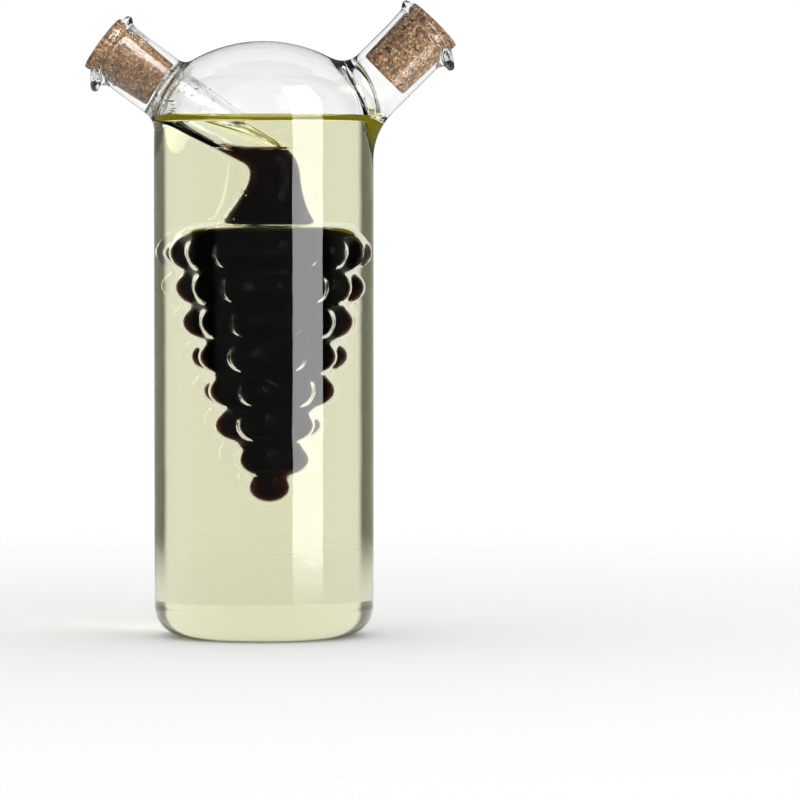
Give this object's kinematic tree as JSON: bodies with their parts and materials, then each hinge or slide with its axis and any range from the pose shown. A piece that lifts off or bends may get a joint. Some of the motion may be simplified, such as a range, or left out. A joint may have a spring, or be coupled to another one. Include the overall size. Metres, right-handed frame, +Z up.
{
  "type": "oil and vinegar cruet",
  "caption": "Blown-glass oil and vinegar cruet: straight bottle with two slanted corked spouts and a grape-cluster flask of vinegar blown inside the oil.",
  "frame": {"origin": "middle of the standing face, on the axis of the straight bottle", "axes": "+Z up along the bottle; +X towards the oil spout and -X towards the vinegar spout; -Y is the side seen in the picture"},
  "size_m": [0.1113, 0.066, 0.1912],
  "materials": {
    "clear_glass": "clear, fire-polished",
    "oil": "clear yellow-green liquid",
    "vinegar": "near-black red-brown liquid",
    "cork": "matt granular cork"
  },
  "bodies": {
    "cruet": {"glass_body": "clear_glass", "oil": "oil", "vinegar": "vinegar"},
    "oil_stopper": {"oil_cork": "cork"},
    "vinegar_stopper": {"vinegar_cork": "cork"}
  },
  "joints": [
    {"name": "oil_cork_pull", "type": "slide", "parent": "cruet", "child": "oil_stopper", "axis": [0.7071, 0, 0.7071], "range_m": [0, 0.03]},
    {"name": "vinegar_cork_pull", "type": "slide", "parent": "cruet", "child": "vinegar_stopper", "axis": [-0.8059, 0, 0.592], "range_m": [0, 0.03]}
  ]
}
